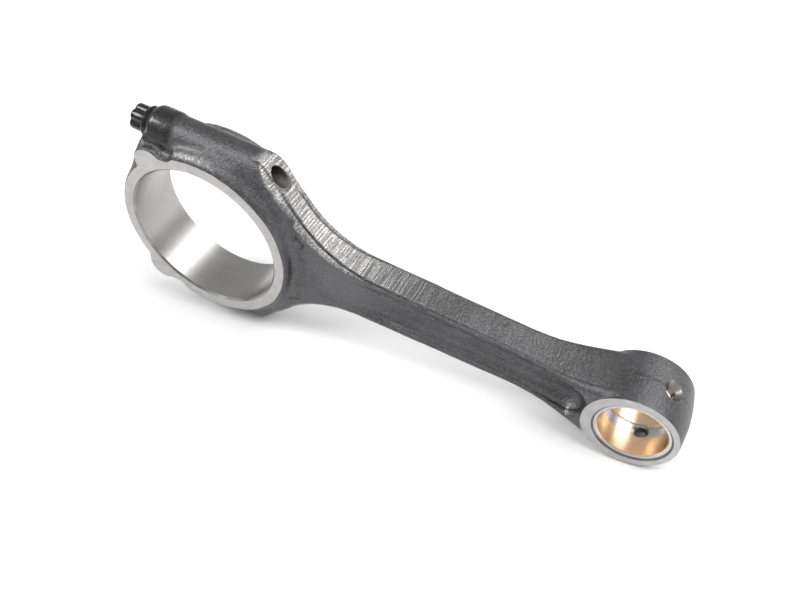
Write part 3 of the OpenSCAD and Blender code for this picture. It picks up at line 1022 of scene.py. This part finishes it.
def head_mesh(s, seat_x, side):
    """Head, flange and plain shank of a cap screw along X."""
    steps, first = 144, math.radians(12)
    seat = -seat_x
    top = seat - s.flange_t
    crown = SCREW_LOW[0]
    fr, hr = FLANGE_R, s.head_r
    plan = [  # place along X, radius, depth of the lobes
        (crown + 0.35 * MM, 0.02 * MM, 0), (crown + 0.3 * MM, 2.1 * MM, 0), (crown, 2.5 * MM, 0),
        (crown, hr - 1.1 * MM, 0.6), (crown + 0.15 * MM, hr - 0.55 * MM, 0.9),
        (crown + 0.5 * MM, hr - 0.12 * MM, 1), (crown + 0.8 * MM, hr, 1),
        (top - 0.7 * MM, hr, 1), (top - 0.3 * MM, hr, 0.9),
        (top - 0.05 * MM, hr + 0.12 * MM, 0.5), (top, hr + 0.3 * MM, 0),
        (top + 0.05 * MM, fr - 0.55 * MM, 0), (top + 0.2 * MM, fr - 0.2 * MM, 0), (top + 0.5 * MM, fr, 0),
        (seat - 0.35 * MM, fr, 0), (seat - 0.1 * MM, fr - 0.1 * MM, 0), (seat, fr - 0.35 * MM, 0),
        (seat, s.shank_r + 0.3 * MM, 0), (seat + 0.3 * MM, s.shank_r, 0),
        (s.thread_start - 0.5 * MM, s.shank_r, 0),
        (s.thread_start + 0.4 * MM, s.core_r - 0.2 * MM, 0),
    ]
    angle = np.arange(steps) * 2 * math.pi / steps + first
    rings = []
    for x, r, depth in plan:
        radius = lobed(steps, r, depth)
        across, up = radius * np.cos(angle), side * SCREW_Z + radius * np.sin(angle)
        rings.append(np.stack([np.full(steps, x), across, up], 1))
    return ring_mesh(rings)


class ROD_OT_screws(bpy.types.Operator):
    """Two cap screws with lobed heads, flanges and threads"""
    bl_idname = "rod.screws"
    bl_label = "Cap screws"

    def execute(self, context):
        made = all_materials()
        s = context.scene.rod_screws
        seat_x = context.scene.rod_big_end.seat_x
        length = SCREW_HIGH[0] - s.thread_start
        for side, name in ((1, "upper"), (-1, "lower")):
            thread = thread_mesh(s, length, made["black_screw"])
            thread.transform(Matrix.Translation((s.thread_start, 0, side * SCREW_Z)))
            mesh = combined(head_mesh(s, seat_x, side), thread, "UNION")
            painted(mesh, [made["black_screw"]], lambda c, n: np.zeros(len(c)))
            add_piece(f"screw_{name}", mesh, f"screw_{name}", f"cap_screw_{name}")
        return {"FINISHED"}


def bush_rule(c, n):
    """Slot of each face of the bush, in the order of its lining, back and holes."""
    lining, back, hole = range(3)
    slot = np.full(len(c), lining)
    r = around(c, PIN_X)
    slot[(r > PIN_R + 0.36 * MM) & (np.abs(n[:, 1]) > 0.9)] = back
    slot[r > BUSH_R - 0.3 * MM] = back
    slot[(r > PIN_R + 0.3 * MM) & (np.abs(c[:, 1]) < 2.6 * MM)] = back
    level = np.abs((c[:, 0] - PIN_X) * n[:, 0] + c[:, 2] * n[:, 2]) < 0.5 * r
    for side in (-1, 1):
        along, away = about_oil_hole(c, side)
        slot[(away < 2.5 * MM) & (along > 0) & level] = hole
    return slot


class ROD_OT_bush(bpy.types.Operator):
    """Steel-backed bronze bush with its oil groove and holes"""
    bl_idname = "rod.bush"
    bl_label = "Small-end bush"

    def execute(self, context):
        made = all_materials()
        edge, deep, half_groove, lead, back_edge = 0.35 * MM, 0.4 * MM, 2.3 * MM, 0.1 * MM, 0.15 * MM
        inner = [(-BUSH_Y, PIN_R + edge), (-BUSH_Y + edge, PIN_R),
                 (-half_groove - lead, PIN_R), (-half_groove + lead, PIN_R + deep)]
        inner += [(-y, r) for y, r in reversed(inner)]
        outer = [(BUSH_Y, BUSH_R - back_edge), (BUSH_Y - back_edge, BUSH_R),
                 (-BUSH_Y + back_edge, BUSH_R), (-BUSH_Y, BUSH_R - back_edge)]
        steps = 192
        angle = np.arange(steps) * 2 * math.pi / steps
        cos, sin = np.cos(angle), np.sin(angle)
        rings = [np.stack([PIN_X + r * cos, np.full(steps, y), r * sin], 1) for y, r in inner + outer]
        mesh = ring_mesh(rings, loop=True)
        profile = [(8 * MM, 2.9 * MM), (11.1 * MM, 2.75 * MM), (11.75 * MM, OIL_R), (14 * MM, OIL_R)]
        holes = joined(*(oil_hole(side, profile) for side in (-1, 1)))
        mesh = combined(mesh, holes, "DIFFERENCE")
        painted(mesh, [made[n] for n in ("bronze_lining", "bush_back", "drilled_hole")], bush_rule)
        add_piece("bush", mesh, "rod", "small_end_bush")
        return {"FINISHED"}


FLOOR_BOSS = (18 * MM, -38.75 * MM)  # where the lower screw boss rests, along and up
FLOOR_EYE = (155.2 * MM, 16.4 * MM)  # the small end's centre along the rod, and its radius
CAMERA_RIGHT = Vector((0.8953, 0.4290, 0.1201))
CAMERA_UP = Vector((-0.4016, 0.6605, 0.6344))
CAMERA_LOOK = Vector((-0.1928, 0.6162, -0.7637))
CAMERA_PLACE = (124.01 * MM, -169.41 * MM, 210.58 * MM)
LIGHTS = (  # name, place from the rod's middle in metres, size in metres, watts
    ("key", (0.34, 0.58, 0.64), 0.46, 3.5),
    ("top", (0.34, -0.06, 0.95), 0.6, 5.5),
    ("side", (0.85, -0.1, 0.5), 0.4, 1.2),
    ("left", (-0.7, -0.36, 0.6), 0.35, 5.5),
)


def add_floor():
    """Pale floor that touches the lower screw boss and the small end."""
    corner = Vector((FLOOR_BOSS[0], 0, FLOOR_BOSS[1]))
    gap = Vector((FLOOR_EYE[0], 0, 0)) - corner
    tilt = math.atan2(gap.z, gap.x) - math.asin(FLOOR_EYE[1] / gap.length)
    size = 3.0
    mesh = bpy.data.meshes.new("floor")
    corners = [(-size, -size, 0), (size, -size, 0), (size, size, 0), (-size, size, 0)]
    mesh.from_pydata(corners, [], [(0, 1, 2, 3)])
    mesh.transform(Matrix.Translation(corner) @ Matrix.Rotation(-tilt, 4, "Y"))
    floor = bpy.data.objects.new("floor", mesh)
    bpy.context.collection.objects.link(floor)
    paper, tree, shader, place = new_surface("floor_paper", (0.9, 0.9, 0.9), 0.0, 0.7)
    grain = speckle(tree, place, 30, 2.0)
    tone = tint(tree, grain, (0.89, 0.89, 0.895), (0.92, 0.92, 0.92))
    tree.links.new(tone, shader.inputs["Base Color"])
    shader.inputs["Specular IOR Level"].default_value = 0.2
    mesh.materials.append(paper)


def add_lights():
    """Even pale surroundings and soft square lights."""
    world = bpy.data.worlds.new("studio")
    world.use_nodes = True
    bpy.context.scene.world = world
    back = world.node_tree.nodes["Background"]
    back.inputs["Color"].default_value = (1, 1, 1, 1)
    back.inputs["Strength"].default_value = 0.5
    centre = Vector((70 * MM, 0, 0))
    for name, place, size, power in LIGHTS:
        lamp = bpy.data.lights.new(name, "AREA")
        lamp.shape = "SQUARE"
        lamp.size = size
        lamp.energy = power
        light = bpy.data.objects.new(name, lamp)
        light.location = centre + Vector(place)
        light.rotation_euler = (centre - light.location).to_track_quat("-Z", "Y").to_euler()
        bpy.context.collection.objects.link(light)


def add_camera():
    """Camera above the -Y side, looking down on the rod."""
    lens = bpy.data.cameras.new("camera")
    lens.sensor_width = 36.0
    lens.lens = 36.76
    lens.clip_start = 0.01
    camera = bpy.data.objects.new("camera", lens)
    rows = zip(CAMERA_RIGHT, CAMERA_UP, -CAMERA_LOOK, CAMERA_PLACE)
    camera.matrix_world = Matrix((*rows, (0, 0, 0, 1)))
    bpy.context.collection.objects.link(camera)
    bpy.context.scene.camera = camera


class ROD_OT_stage(bpy.types.Operator):
    """Pale floor under the resting rod, soft lights and the camera"""
    bl_idname = "rod.stage"
    bl_label = "Stage"

    def execute(self, context):
        context.scene.view_settings.view_transform = "Standard"
        add_floor()
        add_lights()
        add_camera()
        return {"FINISHED"}


class ROD_PT_panel(bpy.types.Panel):
    """Makers of the rod's pieces"""
    bl_idname = "ROD_PT_panel"
    bl_label = "Connecting Rod"
    bl_space_type = "VIEW_3D"
    bl_region_type = "UI"
    bl_category = "Rod"

    def draw(self, context):
        for maker in OPERATORS:
            self.layout.operator(maker.bl_idname)
        for name in GROUPS:
            group = getattr(context.scene, name)
            for prop in group.bl_rna.properties:
                if not prop.is_readonly and prop.identifier != "name":
                    self.layout.prop(group, prop.identifier)


GROUPS = {
    "rod_big_end": BigEndSizes,
    "rod_shank": ShankSizes,
    "rod_screws": ScrewSizes,
    "rod_finishes": Finishes,
}
OPERATORS = (ROD_OT_forging, ROD_OT_cap, ROD_OT_screws, ROD_OT_bush, ROD_OT_stage)
CLASSES = (*GROUPS.values(), *OPERATORS, ROD_PT_panel)


def register():
    for cls in CLASSES:
        bpy.utils.register_class(cls)
    for name, group in GROUPS.items():
        setattr(bpy.types.Scene, name, PointerProperty(type=group))


def unregister():
    for name in GROUPS:
        delattr(bpy.types.Scene, name)
    for cls in reversed(CLASSES):
        bpy.utils.unregister_class(cls)


def main():
    """Makes every piece in order."""
    register()
    bpy.ops.rod.forging()
    bpy.ops.rod.cap()
    bpy.ops.rod.screws()
    bpy.ops.rod.bush()
    bpy.ops.rod.stage()


if __name__ == "__main__":
    main()
